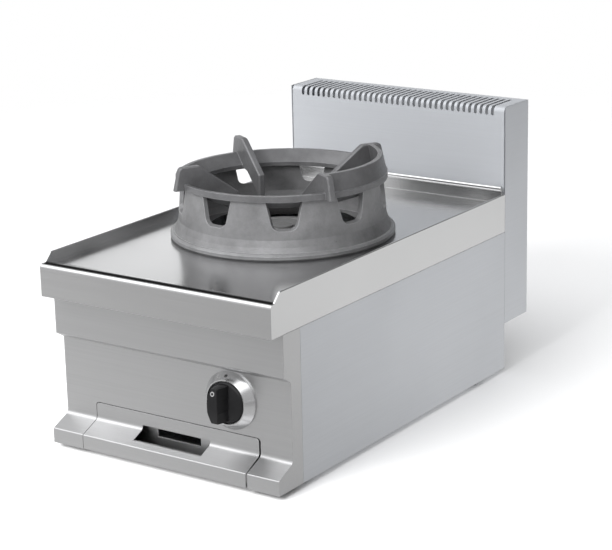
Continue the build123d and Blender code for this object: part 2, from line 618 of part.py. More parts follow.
def air_shutter():
    bore = MOUTH_R + RUN_FIT
    start = MOUTH_Y - SHUTTER_L + MOUTH_T
    face = outline([(bore, start), (bore + SHUTTER_T, start), (bore + SHUTTER_T, start + SHUTTER_L),
                    (bore, start + SHUTTER_L)])
    return turned_y(face, 0, MIXER_Z)


# ================================================================ tap and knob
def knob_bezel():
    points = [(BEZEL_R, 0), (BEZEL_R, BEZEL_EDGE), (BEZEL_EYE_R + BEZEL_FLAT, BEZEL_H), (BEZEL_EYE_R, BEZEL_H),
              (BEZEL_EYE_R, 0)]
    return turned_y(outline([(r, PANEL_Y - d) for r, d in points]), KNOB_X, KNOB_Z)


def grip():
    """Bar across the knob: narrow ends, wide middle, flared flanks and a bowed front."""
    end, wide, narrow = GRIP_L / 2, GRIP_W / 2, GRIP_END_W / 2
    side = [(narrow, -end), (wide, -GRIP_WIDE), (wide, GRIP_WIDE), (narrow, end)]
    view = outline(side + [(-x, -z) for x, z in side])
    front = Plane((KNOB_X, -KNOB_PROUD, KNOB_Z + GRIP_LIFT), x_dir=(1, 0, 0), z_dir=(0, 1, 0))
    bar = extrude(front * view, PANEL_Y - KNOB_FACE + KNOB_PROUD + 1, taper=-GRIP_FLARE)
    bow = (end * end + GRIP_BOW * GRIP_BOW) / (2 * GRIP_BOW)
    bar &= rod_x(bow - KNOB_PROUD, KNOB_Z + GRIP_LIFT, (KNOB_X - KNOB_R, KNOB_X + KNOB_R), bow)
    return bar & rod_y(KNOB_X, KNOB_Z, (-KNOB_PROUD - 1, PANEL_Y), KNOB_R - KNOB_RIM)


def knob():
    face_y = PANEL_Y - KNOB_FACE
    back_y = face_y + KNOB_T
    hub_y = PANEL_Y - PUSH - 0.5
    disc = turned_y(outline([(0, face_y - KNOB_DOME), (KNOB_DOME_R, face_y - KNOB_DOME),
                             (KNOB_R - KNOB_RIM, face_y), (KNOB_R, face_y + KNOB_RIM), (KNOB_R, back_y),
                             (HUB_R, back_y), (HUB_R, hub_y), (0, hub_y)]), KNOB_X, KNOB_Z)
    return disc + grip() - rod_y(KNOB_X, KNOB_Z, (STEM_START, hub_y + 1), STEM_R)


STEM_START = PANEL_Y - KNOB_FACE - HUB_R
STEM_END = PANEL_Y + STEM_IN


def tap_stem():
    return rod_y(KNOB_X, KNOB_Z, (STEM_START, STEM_END), STEM_R)


def thrust_pin():
    return rod_y(KNOB_X, KNOB_Z, (STEM_END, STEM_END + PIN_L), STEM_R)


def tap_body():
    front = PANEL_Y + SHEET
    body = extrude(Plane((KNOB_X, front, KNOB_Z), z_dir=(0, 1, 0)) * RegularPolygon(TAP_R, 8), TAP_L)
    body += rod_y(KNOB_X, KNOB_Z, (front, front + TAP_FLANGE_T), TAP_FLANGE_R)
    body += rod_x(PORT_Y, KNOB_Z, (KNOB_X - PORT_REACH, KNOB_X + PORT_REACH), PIPE_R + 3)
    body += rod_z(KNOB_X, PILOT_TUBE_Y, (KNOB_Z, KNOB_Z + PILOT_UNION_REACH), PILOT_UNION_R)
    bore_end = STEM_END + PIN_L + PUSH + 1
    return body - rod_y(KNOB_X, KNOB_Z, (front - 1, bore_end), STEM_R + RUN_FIT)


# ================================================================ gas line
INLET_END = BODY_D - SHEET - INLET_TAIL


def supply_pipe():
    return tube([(INLET_X, INLET_END, INLET_Z), (INLET_X, PORT_Y, INLET_Z), (INLET_X, PORT_Y, KNOB_Z),
                 (KNOB_X + PORT_REACH, PORT_Y, KNOB_Z)], PIPE_BEND, PIPE_R)


def gas_inlet():
    """Threaded nipple with a hexagon flange outside the rear panel and a shank through it."""
    start = BODY_D + INLET_FLANGE_T
    ring = Plane((INLET_X, BODY_D, INLET_Z), z_dir=(0, 1, 0)) * RegularPolygon(INLET_FLANGE_R, 6)
    nipple = extrude(ring, INLET_FLANGE_T) + rod_y(INLET_X, INLET_Z, (start, start + INLET_L), INLET_R)
    nipple += rod_y(INLET_X, INLET_Z, (INLET_END, BODY_D), INLET_SHANK_R)
    return nipple - rod_y(INLET_X, INLET_Z, (INLET_END + 2, start + INLET_L + 1), PIPE_R)


def burner_pipe():
    return tube([(KNOB_X - PORT_REACH, PORT_Y, KNOB_Z), (0, PORT_Y, KNOB_Z), (0, PORT_Y, MIXER_Z),
                 (0, HOLDER_Y - JET_BACK, MIXER_Z)], FEED_BEND, FEED_R)


def nut_on(point, direction, r):
    """Hexagon nut on a pipe of radius r, from point along direction."""
    ring = RegularPolygon(r + 3.5, 6) - Circle(r)
    return extrude(Plane(point, z_dir=direction) * ring, NUT_L)


def pipe_nuts():
    right = nut_on((KNOB_X + PORT_REACH, PORT_Y, KNOB_Z), (1, 0, 0), PIPE_R)
    left = nut_on((KNOB_X - PORT_REACH, PORT_Y, KNOB_Z), (-1, 0, 0), FEED_R)
    jet = nut_on((0, HOLDER_Y - JET_BACK, MIXER_Z), (0, -1, 0), FEED_R)
    inlet = nut_on((INLET_X, INLET_END, INLET_Z), (0, -1, 0), PIPE_R)
    lock = nut_on((INLET_X, BODY_D - SHEET, INLET_Z), (0, -1, 0), INLET_SHANK_R)
    return Compound([right, left, jet, inlet, lock])


def pilot_bracket():
    depth = (WOK_Y - BRACKET_AHEAD, WOK_Y + BRACKET_BEHIND)
    plate = block((-PILOT_X - SHEET, -PILOT_X), depth, (BEAM_TOP, BURNER_Z - 6))
    return plate + block((-PILOT_X - HEM, -PILOT_X), depth, (BEAM_TOP, BEAM_TOP + SHEET))


PILOT_Y = WOK_Y - PILOT_AHEAD
PROBE_Y = WOK_Y + PROBE_BEHIND
PILOT_FOOT = BURNER_Z - PILOT_L
PROBE_FOOT = BURNER_Z + 4 - PROBE_L


def pilot_burner():
    x = PILOT_R - PILOT_X
    body = rod_z(x, PILOT_Y, (PILOT_FOOT, BURNER_Z), PILOT_R)
    return body - block((x - 1, x + 2 * PILOT_R), (PILOT_Y - 2, PILOT_Y + 2), (BURNER_Z - 6, BURNER_Z - 2))


def pilot_tube():
    x = PILOT_R - PILOT_X
    return tube([(x, PILOT_Y, PILOT_FOOT), (x, PILOT_Y, PILOT_TUBE_Z), (x, PILOT_TUBE_Y, PILOT_TUBE_Z),
                 (KNOB_X, PILOT_TUBE_Y, PILOT_TUBE_Z), (KNOB_X, PILOT_TUBE_Y, KNOB_Z + PILOT_UNION_REACH)],
                THIN_BEND, PILOT_TUBE_R)


def thermocouple():
    x = PROBE_R - PILOT_X
    return rod_z(x, PROBE_Y, (PROBE_FOOT, PROBE_FOOT + PROBE_L), PROBE_R)


def thermocouple_lead():
    x = PROBE_R - PILOT_X
    return tube([(x, PROBE_Y, PROBE_FOOT), (x, PROBE_Y, LEAD_Z), (x, LEAD_Y, LEAD_Z), (KNOB_X, LEAD_Y, LEAD_Z),
                 (KNOB_X, LEAD_Y, KNOB_Z), (KNOB_X, PANEL_Y + SHEET + TAP_L, KNOB_Z)],
                THIN_BEND, LEAD_R)


def heat_shield():
    x = INSIDE - 2 * SLIT - SHEET
    y = (SHIELD_Y, SHIELD_Y + SHEET)
    plate = block((-x, x), y, (SHIELD_LOW, SHIELD_HIGH))
    leg = block((x - SHIELD_LEG, x), y, (2 * SHEET, SHIELD_LOW))
    hole = rod_y(INLET_X, INLET_Z, (SHIELD_Y - 1, SHIELD_Y + 2 * SHEET), PIPE_R + HOLE_CLEAR)
    return plate + leg + other_side(leg) - hole


# ================================================================ feet and screws
def foot(y):
    """Right-hand foot pad."""
    pad = Plane((HALF - FOOT_INSET, y, -FOOT_H)) * RegularPolygon(FOOT_R, FOOT_SIDES)
    return extrude(pad, FOOT_H)


def rear_screws():
    """Hexagon heads of the screws in the rear panel, beside the gas inlet's corner."""
    head = RegularPolygon(SCREW_R, 6)
    return Compound([extrude(Plane((x, BODY_D, z), z_dir=(0, 1, 0)) * head, SCREW_H)
                     for x in SCREW_X for z in SCREW_Z])


# ================================================================ write the pieces
save("worktop", worktop())
save("front_fascia", front_fascia())
save("side_panel_right", side_panel())
save("side_panel_left", other_side(side_panel()))
save("base_pan", base_pan())
save("rear_panel", rear_panel())
save("rail_front", rail(SEAM_Y + RAIL_INSET, 1))
save("rail_rear", rail(BODY_D - SHEET - RAIL_INSET, -1))
save("flue_cover", flue_cover())
save("flue_side_right", flue_side())
save("flue_side_left", other_side(flue_side()))
save("flue_back", flue_back())
save("flue_floor", flue_floor())
save("duct_collar", duct_collar())
save("drip_tray_front", drip_tray_front())
save("drip_tray", drip_tray())
save("tray_runner_right", tray_runner())
save("tray_runner_left", other_side(tray_runner()))
save("wok_stand", wok_stand())
save("wok_ring", wok_ring())
save("burner_beam", burner_beam())
save("burner_body", burner_body())
save("burner_crown", burner_crown())
save("burner_cap", burner_cap())
save("mixer_tube", mixer_tube())
save("injector_holder", injector_holder())
save("injector", injector())
save("air_shutter", air_shutter())
save("knob_bezel", knob_bezel())
save("knob", knob())
save("tap_stem", tap_stem())
save("thrust_pin", thrust_pin())
save("tap_body", tap_body())
save("supply_pipe", supply_pipe())
save("gas_inlet", gas_inlet())
save("burner_pipe", burner_pipe())
save("pipe_nuts", pipe_nuts())
save("pilot_bracket", pilot_bracket())
save("pilot_burner", pilot_burner())
save("pilot_tube", pilot_tube())
save("thermocouple", thermocouple())
save("thermocouple_lead", thermocouple_lead())
save("heat_shield", heat_shield())
save("foot_front_right", foot(FOOT_FRONT))
save("foot_front_left", other_side(foot(FOOT_FRONT)))
save("foot_rear_right", foot(BODY_D - FOOT_REAR))
save("foot_rear_left", other_side(foot(BODY_D - FOOT_REAR)))
save("rear_screws", rear_screws())
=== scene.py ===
import json
import math

import bmesh
import bpy
from mathutils import Matrix, Vector


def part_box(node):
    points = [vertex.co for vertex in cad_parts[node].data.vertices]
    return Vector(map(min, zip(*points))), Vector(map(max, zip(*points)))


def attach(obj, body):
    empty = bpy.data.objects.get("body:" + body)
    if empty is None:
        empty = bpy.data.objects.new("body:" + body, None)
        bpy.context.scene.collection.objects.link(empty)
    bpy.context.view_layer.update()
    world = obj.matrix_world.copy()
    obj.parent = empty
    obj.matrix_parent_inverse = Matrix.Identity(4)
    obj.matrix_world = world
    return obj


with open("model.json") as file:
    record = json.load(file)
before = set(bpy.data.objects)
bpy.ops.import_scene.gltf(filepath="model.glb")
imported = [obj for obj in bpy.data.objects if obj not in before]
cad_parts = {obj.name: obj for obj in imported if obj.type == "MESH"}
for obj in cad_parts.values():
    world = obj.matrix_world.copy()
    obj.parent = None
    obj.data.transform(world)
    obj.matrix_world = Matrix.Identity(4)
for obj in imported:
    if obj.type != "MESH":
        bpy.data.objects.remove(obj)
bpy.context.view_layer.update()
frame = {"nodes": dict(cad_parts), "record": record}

scene = bpy.context.scene
scene.view_settings.view_transform = "Standard"


# ---------------------------------------------------------------- node trees
class Nodes:
    """Short calls that add, join and calculate in one node tree."""

    def __init__(self, tree):
        self.tree = tree

    def add(self, kind, **properties):
        node = self.tree.nodes.new(kind)
        for key, value in properties.items():
            setattr(node, key, value)
        return node

    def link(self, source, target):
        self.tree.links.new(source, target)

    def maths(self, operation, a, b=0.0):
        node = self.add("ShaderNodeMath", operation=operation)
        for socket, value in zip(node.inputs, (a, b)):
            if isinstance(value, (int, float)):
                socket.default_value = value
            else:
                self.link(value, socket)
        return node.outputs[0]

    def along(self, vector, direction):
        """How far a vector runs in a fixed direction."""
        node = self.add("ShaderNodeVectorMath", operation="DOT_PRODUCT")
        self.link(vector, node.inputs[0])
        node.inputs[1].default_value = direction
        return node.outputs["Value"]

    def remap(self, value, start, end, low, high, curve="LINEAR"):
        """Value between start and end mapped to low..high, clamped."""
        node = self.add("ShaderNodeMapRange", interpolation_type=curve)
        self.link(value, node.inputs["Value"])
        for key, number in zip(("From Min", "From Max", "To Min", "To Max"), (start, end, low, high)):
            node.inputs[key].default_value = number
        return node.outputs["Result"]

    def smooth(self, value, start, end, low, high):
        return self.remap(value, start, end, low, high, curve="SMOOTHSTEP")


class Look(Nodes):
    """A Principled material whose patterns follow the piece's own coordinates in metres."""

    def __init__(self, name, **sockets):
        self.material = bpy.data.materials.new(name)
        self.material.use_nodes = True
        super().__init__(self.material.node_tree)
        self.shader = self.tree.nodes["Principled BSDF"]
        self.coords = self.add("ShaderNodeTexCoord").outputs["Object"]
        for socket, value in sockets.items():
            self.shader.inputs[socket.replace("_", " ")].default_value = value

    def noise(self, scale, detail=4.0, rough=0.55):
        """Noise over the piece; scale is features per metre, the same or one each for x, y and z."""
        mapping = self.add("ShaderNodeMapping")
        mapping.inputs["Scale"].default_value = scale if isinstance(scale, tuple) else (scale,) * 3
        self.link(self.coords, mapping.inputs["Vector"])
        noise = self.add("ShaderNodeTexNoise")
        noise.inputs["Scale"].default_value = 1.0
        noise.inputs["Detail"].default_value = detail
        noise.inputs["Roughness"].default_value = rough
        self.link(mapping.outputs[0], noise.inputs["Vector"])
        return noise.outputs["Fac"]

    def spread(self, value, low, high, start=0.3, end=0.7):
        """A noise's usual range, or start to end, mapped to low..high."""
        return self.remap(value, start, end, low, high)

    def blend(self, factor, colour_a, colour_b):
        node = self.add("ShaderNodeMix", data_type="RGBA")
        self.link(factor, node.inputs["Factor"])
        for socket, value in zip((node.inputs[6], node.inputs[7]), (colour_a, colour_b)):
            if isinstance(value, tuple):
                socket.default_value = (*value, 1.0)
            else:
                self.link(value, socket)
        return node.outputs[2]

    def bump(self, height, strength, distance, normal):
        node = self.add("ShaderNodeBump")
        node.inputs["Strength"].default_value = strength
        node.inputs["Distance"].default_value = distance
        self.link(height, node.inputs["Height"])
        self.link(normal, node.inputs["Normal"])
        return node.outputs["Normal"]

    def soft_edges(self, radius):
        """Shading normal that rounds sharp edges by radius metres."""
        node = self.add("ShaderNodeBevel", samples=4)
        node.inputs["Radius"].default_value = radius
        return node.outputs["Normal"]

    def paint_edge_highlight(self, colour, bright, radius, amount):
        """Colour with its sharp edges painted brighter as a highlight, found by how far the softened normal leans."""
        lean = self.add("ShaderNodeVectorMath", operation="DOT_PRODUCT")
        self.link(self.soft_edges(radius), lean.inputs[0])
        self.link(self.add("ShaderNodeNewGeometry").outputs["Normal"], lean.inputs[1])
        edge = self.spread(lean.outputs["Value"], amount, 0.0, *EDGE_LEAN)
        patch = self.spread(self.noise(EDGE_PATCHES, detail=3.0), 0.35, 1.0, 0.35, 0.6)
        return self.blend(self.maths("MULTIPLY", edge, patch), colour, bright)

    def across_grain(self):
        """Direction that highlights stretch in: upright on every wall, front to back on a flat top."""
        wall = self.add("ShaderNodeTangent", direction_type="RADIAL", axis="Y").outputs[0]
        other = self.add("ShaderNodeTangent", direction_type="RADIAL", axis="X").outputs[0]
        split = self.add("ShaderNodeSeparateXYZ")
        self.link(self.add("ShaderNodeTexCoord").outputs["Normal"], split.inputs[0])
        sideways = self.maths("GREATER_THAN", self.maths("ABSOLUTE", split.outputs["X"]), SIDE_WALL)
        choose = self.add("ShaderNodeMix", data_type="VECTOR")
        self.link(sideways, choose.inputs["Factor"])
        self.link(other, choose.inputs[4])
        self.link(wall, choose.inputs[5])
        return choose.outputs[1]

    def finish(self, colour, rough, normal):
        """Patterns for colour, roughness and normal into the shader; gives the material."""
        for source, socket in ((colour, "Base Color"), (rough, "Roughness"), (normal, "Normal")):
            self.link(source, self.shader.inputs[socket])
        return self.material


# ---------------------------------------------------------------- materials
# Pattern scales are features per metre.
EDGE_LEAN = (0.80, 0.985)   # cosine between softened and true normal: full painted edge highlight, none
EDGE_PATCHES = 70.0
SIDE_WALL = 0.7             # a face whose normal's x is beyond this is a side wall
GRAIN_LINES = (2600.0, 12.0)            # fine grinding lines: across and along the grain
GRAIN_BANDS = (420.0, 2.5)  # broader bands between them
HAND_MARKS = 4.0
STEEL_EDGE = 0.0008         # softened edge of folded sheet
PORES, SAND_SKIN, IRON_WAVES, IRON_CLOUDS = 1100.0, 330.0, 45.0, 26.0
IRON_EDGE, IRON_HIGHLIGHT_REACH = 0.0012, 0.0018   # softened edge of a casting, and how far its painted edge highlight reaches
METAL_CLOUDS, METAL_EDGE = 60.0, 0.0003
ZINC_FLAKES, ZINC_GRAIN, ZINC_EDGE = 140.0, 500.0, 0.0004
PLASTIC_CLOUDS = 40.0


def grey(level, blue=0.0):
    return level, level, level + blue


def shade(colour, k):
    return tuple(min(1.0, c * k) for c in colour)


def grained(scales, axis):
    """Noise scale for marks that run along one axis (0, 1 or 2)."""
    across, along = scales
    return tuple(along if k == axis else across for k in range(3))


def brushed(name, colour, rough, along, aniso, smudge=1.0, metallic=1.0):
    """Ground stainless steel; along is the axis that the grain follows."""
    look = Look(name, Metallic=metallic, Anisotropic=aniso)
    lines = look.noise(grained(GRAIN_LINES, along), detail=2.0, rough=0.6)
    bands = look.noise(grained(GRAIN_BANDS, along), detail=3.0, rough=0.5)
    marks = look.noise(HAND_MARKS)
    mixed = look.maths("ADD", look.maths("MULTIPLY", lines, 0.5), look.maths("MULTIPLY", bands, 0.5))
    grain = look.spread(mixed, 0.0, 1.0, 0.34, 0.66)
    tone = look.blend(grain, shade(colour, 0.965), shade(colour, 1.03))
    worn = look.spread(marks, 0.0, 0.3 * smudge, 0.45, 0.75)
    look.link(look.across_grain(), look.shader.inputs["Tangent"])
    return look.finish(
        look.blend(worn, tone, shade(colour, 0.93)),
        look.maths("ADD", look.spread(mixed, rough - 0.02, rough + 0.03),
                   look.spread(marks, -0.02 * smudge, 0.03 * smudge)),
        look.bump(grain, 0.02, 0.0001, look.soft_edges(STEEL_EDGE)))


def cast(name, colour, rough, metallic):
    """Sand-cast iron: grainy skin, soft unevenness, darker pores, sharp edges painted brighter as a highlight."""
    look = Look(name, Metallic=metallic)
    pores = look.noise(PORES, detail=3.0, rough=0.7)
    skin = look.noise(SAND_SKIN, rough=0.6)
    waves = look.noise(IRON_WAVES, detail=3.0, rough=0.5)
    cloud = look.noise(IRON_CLOUDS, detail=6.0, rough=0.68)
    tone = look.blend(look.spread(cloud, 0.0, 1.0), shade(colour, 0.78), shade(colour, 1.2))
    speck = look.spread(pores, 0.0, 0.5, 0.52, 0.72)
    normal = look.soft_edges(IRON_EDGE)
    for height, strength, depth in ((waves, 0.25, 0.002), (skin, 0.35, 0.0006), (pores, 0.3, 0.0003)):
        normal = look.bump(height, strength, depth, normal)
    # Sharp edges painted brighter as a highlight.
    return look.finish(
        look.paint_edge_highlight(look.blend(speck, tone, shade(colour, 0.6)), shade(colour, 2.3), IRON_HIGHLIGHT_REACH, 0.9),
        look.maths("ADD", look.spread(skin, rough - 0.1, rough + 0.1), look.spread(cloud, -0.05, 0.05)),
        normal)


def metal(name, colour, rough, grain=600.0, streak=0.6):
    """Turned, drawn or plated metal with fine unevenness and handling marks."""
    look = Look(name, Metallic=1.0)
    fine = look.noise(grain, detail=3.0, rough=0.6)
    cloud = look.noise(METAL_CLOUDS)
    tone = look.blend(look.spread(fine, 0.0, 1.0), shade(colour, 1 - 0.1 * streak), shade(colour, 1 + 0.08 * streak))
    return look.finish(
        look.blend(look.spread(cloud, 0.0, 0.4, 0.5, 0.75), tone, shade(colour, 0.75)),
        look.maths("ADD", look.spread(fine, rough - 0.02, rough + 0.02), look.spread(cloud, -0.02, 0.04)),
        look.bump(fine, 0.06 * streak, 0.0001, look.soft_edges(METAL_EDGE)))


def galvanised(name, colour, rough):
    """Coated sheet with the faint flakes of its zinc or aluminium layer."""
    look = Look(name, Metallic=1.0)
    flake = look.add("ShaderNodeTexVoronoi", feature="F1")
    flake.inputs["Scale"].default_value = ZINC_FLAKES
    look.link(look.coords, flake.inputs["Vector"])
    tint = look.add("ShaderNodeRGBToBW")
    look.link(flake.outputs["Color"], tint.inputs[0])
    fine = look.noise(ZINC_GRAIN, detail=3.0)
    return look.finish(
        look.blend(look.spread(tint.outputs[0], 0.0, 1.0, 0.1, 0.9), shade(colour, 0.93), shade(colour, 1.06)),
        look.maths("ADD", look.spread(tint.outputs[0], rough - 0.05, rough + 0.06, 0.1, 0.9),
                   look.spread(fine, -0.04, 0.04)),
        look.bump(fine, 0.06, 0.0002, look.soft_edges(ZINC_EDGE)))


def moulded(name, colour, rough, grain, coat=0.0, edge=0.0006, gloss=0.5):
    """Moulded plastic, rubber or lacquer: fine skin texture and slight variation in gloss."""
    look = Look(name, Metallic=0.0, Coat_Weight=coat, Coat_Roughness=0.2, Specular_IOR_Level=gloss)
    skin = look.noise(grain, detail=3.0, rough=0.6)
    cloud = look.noise(PLASTIC_CLOUDS, detail=3.0)
    return look.finish(
        look.blend(look.spread(cloud, 0.0, 1.0), shade(colour, 0.85), shade(colour, 1.25)),
        look.maths("ADD", look.spread(skin, rough - 0.04, rough + 0.05), look.spread(cloud, -0.02, 0.05)),
        look.bump(skin, 0.12, 0.00015, look.soft_edges(edge)))


ALONG_X, ALONG_Y = 0, 1
LOOKS = {                   # name: maker, colour, roughness, options
    "worktop_steel": (brushed, grey(0.64), 0.20, dict(along=ALONG_X, aniso=0.5, smudge=0.7)),
    "rim_steel": (brushed, grey(0.56), 0.10, dict(along=ALONG_X, aniso=0.0, smudge=0.3)),
    "front_steel": (brushed, grey(0.57, 0.002), 0.33, dict(along=ALONG_X, aniso=0.55)),
    "side_steel": (brushed, (0.62, 0.635, 0.66), 0.38, dict(along=ALONG_Y, aniso=0.4)),
    "flue_steel": (brushed, (0.53, 0.545, 0.57), 0.60, dict(along=ALONG_X, aniso=0.2, metallic=0.6)),
    "tray_steel": (brushed, grey(0.56, 0.005), 0.32, dict(along=ALONG_Y, aniso=0.4)),
    "inner_sheet": (galvanised, (0.50, 0.52, 0.53), 0.42, {}),
    "stand_iron": (cast, grey(0.225, 0.004), 0.40, dict(metallic=0.5)),
    # ring iron darker than the stand's: painted shade for the shaded inside of the ring
    "ring_iron": (cast, grey(0.150, 0.004), 0.42, dict(metallic=0.5)),
    "burner_iron": (cast, grey(0.15), 0.55, dict(metallic=0.2)),
    "brass": (metal, (0.72, 0.56, 0.28), 0.28, {}),
    "tap_brass": (metal, (0.62, 0.49, 0.26), 0.42, dict(grain=350.0)),
    "fitting_steel": (metal, grey(0.52, 0.01), 0.32, {}),
    "bezel_metal": (metal, grey(0.66, 0.005), 0.17, dict(grain=1800.0, streak=0.1)),
    "knob_plastic": (moulded, grey(0.006, 0.0005), 0.34, dict(grain=900.0, edge=0.0012, gloss=0.3)),
    "pipe_steel": (moulded, grey(0.06, 0.005), 0.35, dict(grain=500.0, coat=0.4)),
    "aluminium_pipe": (metal, grey(0.74, 0.01), 0.33, dict(grain=400.0)),
    "copper_probe": (metal, (0.62, 0.34, 0.22), 0.38, dict(grain=500.0)),
    "foot_rubber": (moulded, grey(0.02), 0.7, dict(grain=700.0)),
    "mark_light": (moulded, grey(0.24), 0.45, dict(grain=900.0)),
    "mark_grey": (moulded, grey(0.16), 0.5, dict(grain=900.0)),
    "mark_black": (moulded, grey(0.015), 0.45, dict(grain=900.0)),
}
looks = {name: maker(name, colour, rough, **options) for name, (maker, colour, rough, options) in LOOKS.items()}
for part in frame["record"]["subparts"]:
    part_mesh = frame["nodes"][part["node"]].data
    part_mesh.materials.clear()
    part_mesh.materials.append(looks[part["material_slot"]])


# ---------------------------------------------------------------- scene-only pieces
def add_piece(name, mesh_builder, look, body):
    """New mesh that rides on a body; look is the material drawn here."""
    mesh = bpy.data.meshes.new(name)
    shape = bmesh.new()
    mesh_builder(shape)
    bmesh.ops.recalc_face_normals(shape, faces=shape.faces)
    shape.to_mesh(mesh)
    shape.free()
    piece = bpy.data.objects.new(name, mesh)
    scene.collection.objects.link(piece)
    mesh.materials.append(looks[look])
    for face in mesh.polygons:
        face.use_smooth = True
    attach(piece, body)


def skin_rows(shape, rows, closed=False):
    """Quads between neighbouring rows of vertices; closed joins the ends of each row."""
    for here, there in zip(rows, rows[1:]):
        for k in range(len(here) if closed else len(here) - 1):
            n = (k + 1) % len(here)
            shape.faces.new((here[k], here[n], there[n], there[k]))


deck_low, deck_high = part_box("worktop")
DECK_TOP = 0.279            # worktop surface
RIM_START, RIM_CREST, RIM_END, RIM_RISE = 0.0050, 0.0125, 0.0190, 0.0014
RIM_STEPS = 6               # points on each side of its crest
RIM_FULLNESS = 0.9          # below 1, the front slope is rounder than a sine
RIM_INSET = 0.0030          # from the worktop's ends


def front_rim(shape):
    """Shallow raised rim that keeps spills on the worktop, just behind its rolled front edge."""
    edge_y = deck_low[1]
    shares = [k / RIM_STEPS for k in range(RIM_STEPS + 1)]
    points = [(edge_y + RIM_START + t * (RIM_CREST - RIM_START),
               DECK_TOP + RIM_RISE * math.sin(t * math.pi / 2) ** RIM_FULLNESS) for t in shares]
    points += [(edge_y + RIM_CREST + t * (RIM_END - RIM_CREST),
                DECK_TOP + RIM_RISE * (1 + math.cos(t * math.pi)) / 2) for t in shares[1:]]
    half = deck_high[0] - RIM_INSET
    skin_rows(shape, [[shape.verts.new((x, y, z)) for y, z in points] for x in (-half, 0.0, half)])


add_piece("front_rim", front_rim, "rim_steel", "chassis")

KNOB_AXIS = Vector((0.0995, 0.0, 0.1175))
PANEL_Y = -0.3090           # face of the control panel
BEZEL_FOOT, BEZEL_RIM = (0.0420, 0.0025), (0.0326, 0.0145)      # (radius, height) of the bezel's cone
BEZEL_MARK_AT = 0.0372      # radius of the marks' place on that cone
# Bowed front of the grip: its y, its middle above the axis, half its length, and how far its ends fall back.
GRIP_FACE, GRIP_RISE, GRIP_HALF, GRIP_SAG = -0.3535, 0.0025, 0.0245, 0.0045
GRIP_MARK_AT = (-0.0005, 0.0210)        # its place beside and above the knob's axis
MARK_RISE = 0.0002          # thickness of the printed marks
MARK_PROUD = 0.0001         # how far the grip's mark starts out of its curved face
PAD_SIDES = 28


def pad(shape, centre, normal, radius, hole=0.0):
    """Low raised dot, or a raised ring where hole is its inner radius."""
    out = normal.normalized()
    across = out.orthogonal().normalized()
    up = out.cross(across)
    if hole:
        bevel = 0.3 * (radius - hole)
        profile = [(hole, 0.0), (hole + bevel, MARK_RISE), (radius - bevel, MARK_RISE), (radius, 0.0)]
    else:
        profile = [(radius, 0.0), (0.85 * radius, 0.75 * MARK_RISE), (0.5 * radius, MARK_RISE)]
    angles = [math.tau * k / PAD_SIDES for k in range(PAD_SIDES)]
    loops = [[shape.verts.new(centre + out * h + across * (r * math.cos(a)) + up * (r * math.sin(a))) for a in angles]
             for r, h in profile]
    skin_rows(shape, loops, closed=True)
    if not hole:
        shape.faces.new(loops[-1])


def bezel_mark(name, turn, radius, look, hole=0.0):
    """Mark on the bezel's cone; turn is in degrees from the top."""
    (foot_r, foot_h), (rim_r, rim_h) = BEZEL_FOOT, BEZEL_RIM
    height = foot_h + (foot_r - BEZEL_MARK_AT) / (foot_r - rim_r) * (rim_h - foot_h)
    side, top = math.sin(math.radians(turn)), math.cos(math.radians(turn))
    point = Vector((KNOB_AXIS.x + BEZEL_MARK_AT * side, PANEL_Y - height, KNOB_AXIS.z + BEZEL_MARK_AT * top))
    slope = Vector(((rim_h - foot_h) * side, rim_r - foot_r, (rim_h - foot_h) * top))
    add_piece(name, lambda shape: pad(shape, point, slope, radius, hole), look, "chassis")


def grip_mark(name, radius, hole):
    """Raised ring near the upper end of the grip's bowed front."""
    side, up = GRIP_MARK_AT
    sag = GRIP_SAG * ((up - GRIP_RISE) / GRIP_HALF) ** 2 - MARK_PROUD
    point = Vector((KNOB_AXIS.x + side, GRIP_FACE + sag, KNOB_AXIS.z + up))
    slope = Vector((0.0, -1.0, 2 * GRIP_SAG * (up - GRIP_RISE) / GRIP_HALF ** 2))
    add_piece(name, lambda shape: pad(shape, point, slope, radius, hole), "mark_light", "knob")


bezel_mark("bezel_off_dot", -2.5, 0.0026, "mark_black")
bezel_mark("bezel_pilot_ring", -24.0, 0.0024, "mark_grey", hole=0.0006)
grip_mark("grip_ring_mark", 0.0034, hole=0.0019)

INLET = Vector((0.165, 0.0, 0.053))
THREAD_R, THREAD_PITCH, THREAD_DEPTH = 0.01048, 0.001814, 0.00045
THREAD_FLANK = 0.42         # half width of the ridge's foot, in pitches
THREAD_SINK = 0.00005       # depth of that foot under the pipe's surface
THREAD_STEPS = 28           # points in one turn
THREAD_FROM, THREAD_TO = 0.0120, 0.0004         # its ends, measured back from the inlet's mouth


def inlet_thread(shape):
    """Helical ridge of the pipe thread round the gas inlet, fading in and out over one turn."""
    _, inlet_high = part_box("gas_inlet")
    y_low, y_high = inlet_high[1] - THREAD_FROM, inlet_high[1] - THREAD_TO
    count = int((y_high - y_low - THREAD_PITCH) / THREAD_PITCH * THREAD_STEPS)
    rows = []
    for k in range(count + 1):
        angle = math.tau * k / THREAD_STEPS
        fade = min(1.0, k / THREAD_STEPS, (count - k) / THREAD_STEPS)
        y = y_low + THREAD_PITCH * (0.5 + k / THREAD_STEPS)
        row = []
        for along, depth in ((-THREAD_FLANK, 0.0), (0.0, 1.0), (THREAD_FLANK, 0.0)):
            r = THREAD_R - THREAD_SINK + THREAD_DEPTH * depth * fade
            row.append(shape.verts.new((INLET.x + r * math.cos(angle), y + along * THREAD_PITCH,
                                        INLET.z + r * math.sin(angle))))
        rows.append(row)
    skin_rows(shape, rows)


add_piece("gas_inlet_thread", inlet_thread, "fitting_steel", "chassis")

# ---------------------------------------------------------------- camera
AZIMUTH, ELEVATION, ROLL = math.radians(34.703), math.radians(16.175), math.radians(-1.349)
AIM = Vector((0.049645, -0.0505, 0.223271))     # point in the middle of the picture
CAMERA_DISTANCE = 2.922126
PICTURE_WIDTH, FOCAL_LENGTH = 612, 1985.398     # both in pixels
SENSOR_WIDTH = 36.0         # millimetres


